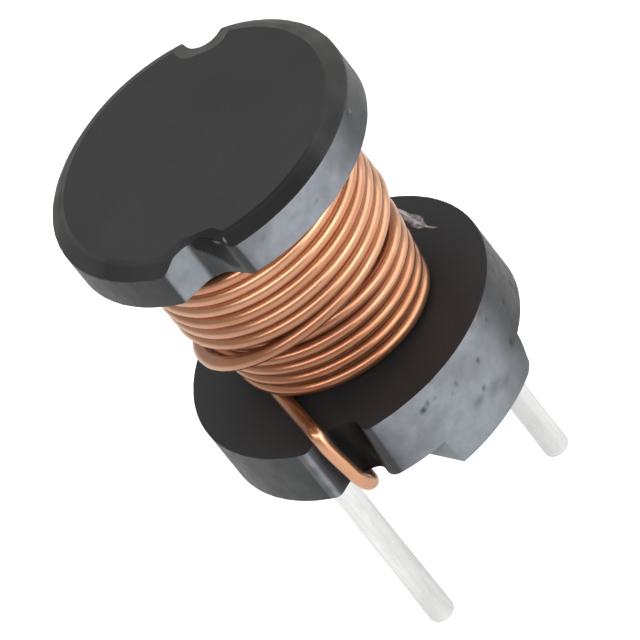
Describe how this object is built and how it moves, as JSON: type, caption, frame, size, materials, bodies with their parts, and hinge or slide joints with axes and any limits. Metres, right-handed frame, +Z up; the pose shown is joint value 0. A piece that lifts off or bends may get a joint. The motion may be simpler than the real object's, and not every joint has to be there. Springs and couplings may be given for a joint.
{
  "type": "through-hole inductor",
  "caption": "Radial through-hole inductor: notched ferrite drum core wound with enamelled copper wire, standing on a bar, with round tinned lead pins for a circuit board.",
  "frame": {"origin": "centre of the foot of the standoff bar, midway between the two pins", "axes": "+Z up along the drum's axis, away from the board; the two pins lie on the X axis and the standoff bar runs along Y"},
  "size_m": [0.0078, 0.0078, 0.0142],
  "materials": {
    "ferrite": "sintered ferrite, matt dark grey on the ground faces, smoother blue-grey on the rims",
    "enamelled_wire": "copper wire under clear enamel, glossy",
    "tinned_pin": "hot-tinned wire, smooth and bright",
    "solder": "solidified solder, satin",
    "cement": "cured epoxy",
    "glue": "dried glue, whitish and patchy"
  },
  "bodies": {
    "root": {"drum_core": "ferrite", "winding": "enamelled_wire", "start_pin": "tinned_pin", "finish_pin": "tinned_pin", "start_solder": "solder", "finish_solder": "solder", "start_pin_cement": "cement", "finish_pin_cement": "cement", "glue_trail": "glue"}
  },
  "joints": []
}
